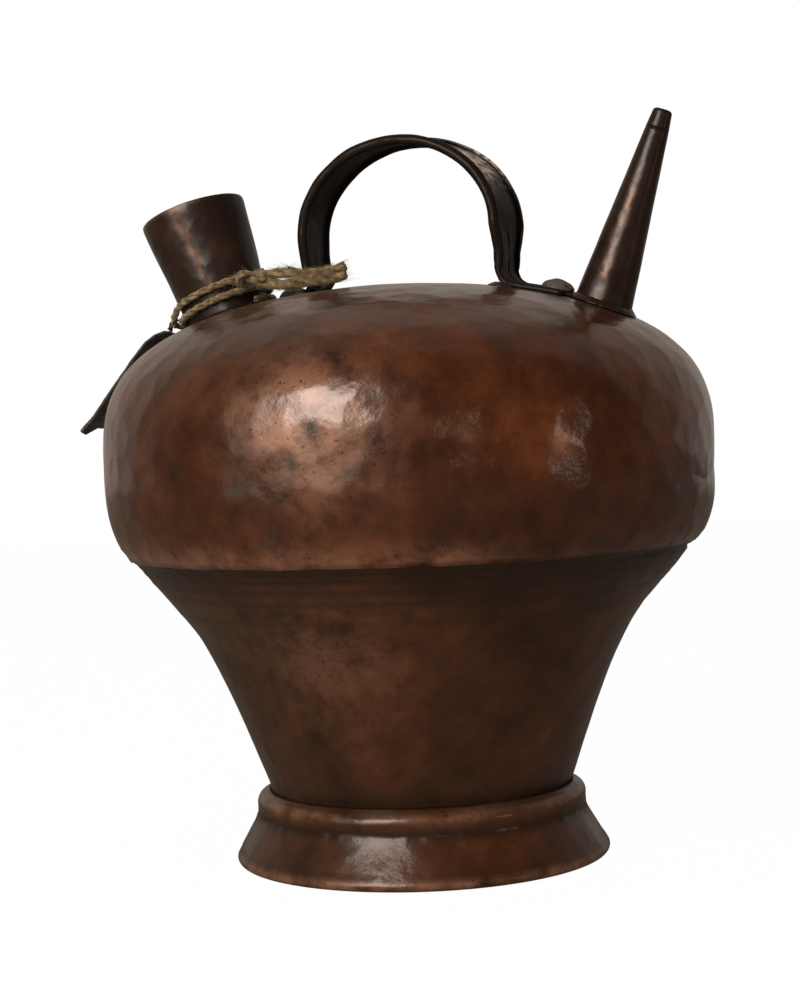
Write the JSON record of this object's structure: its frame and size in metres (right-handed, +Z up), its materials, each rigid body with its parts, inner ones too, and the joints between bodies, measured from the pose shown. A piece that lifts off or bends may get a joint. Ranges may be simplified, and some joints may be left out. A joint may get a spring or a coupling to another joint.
{
  "type": "copper water jug",
  "caption": "Round-bellied copper drinking-water jug on a flared foot, with a tilted filler neck, a tapered drinking spout, an arched strap handle and a tag on twine.",
  "frame": {"origin": "centre of the foot on the floor, on the body's axis", "axes": "+Z up along the body's axis, +X towards the drinking spout, -X towards the filler neck"},
  "size_m": [0.2806, 0.256, 0.3044],
  "materials": {
    "copper": "aged brown copper, hammered",
    "dark_copper": "dark aged copper",
    "solder": "dull grey solder",
    "iron_wire": "dark wire",
    "jute_twine": "rough laid jute",
    "tag_leather": "dark, worn, matt"
  },
  "bodies": {
    "jug": {"upper_shell": "copper", "lower_shell": "copper", "floor_disc": "copper", "foot_skirt": "copper", "rivet_rove_left": "copper", "rivet_rove_right": "copper", "filler_neck": "dark_copper", "drinking_spout": "dark_copper", "spout_tip": "dark_copper", "handle_strap": "dark_copper", "handle_rivet_left": "dark_copper", "handle_rivet_right": "dark_copper", "neck_solder": "solder", "spout_solder": "solder", "seam_solder": "solder", "foot_solder": "solder", "handle_solder_left_front": "solder", "handle_solder_left_back": "solder", "handle_solder_right_front": "solder", "handle_solder_right_back": "solder", "foot_rim_wire": "iron_wire", "handle_edge_wire_front": "iron_wire", "handle_edge_wire_back": "iron_wire", "twine_winding": "jute_twine", "twine_knot": "jute_twine", "twine_tail_upper": "jute_twine", "twine_tail_lower": "jute_twine"},
    "tag": {"tag_loop": "jute_twine", "hang_tag": "tag_leather"}
  },
  "joints": [
    {"name": "tag_swing", "type": "hinge", "parent": "jug", "child": "tag", "pos_m": [-0.10674, 0, 0.22883], "axis": [0, 1, 0], "range_deg": [0, 95]}
  ]
}
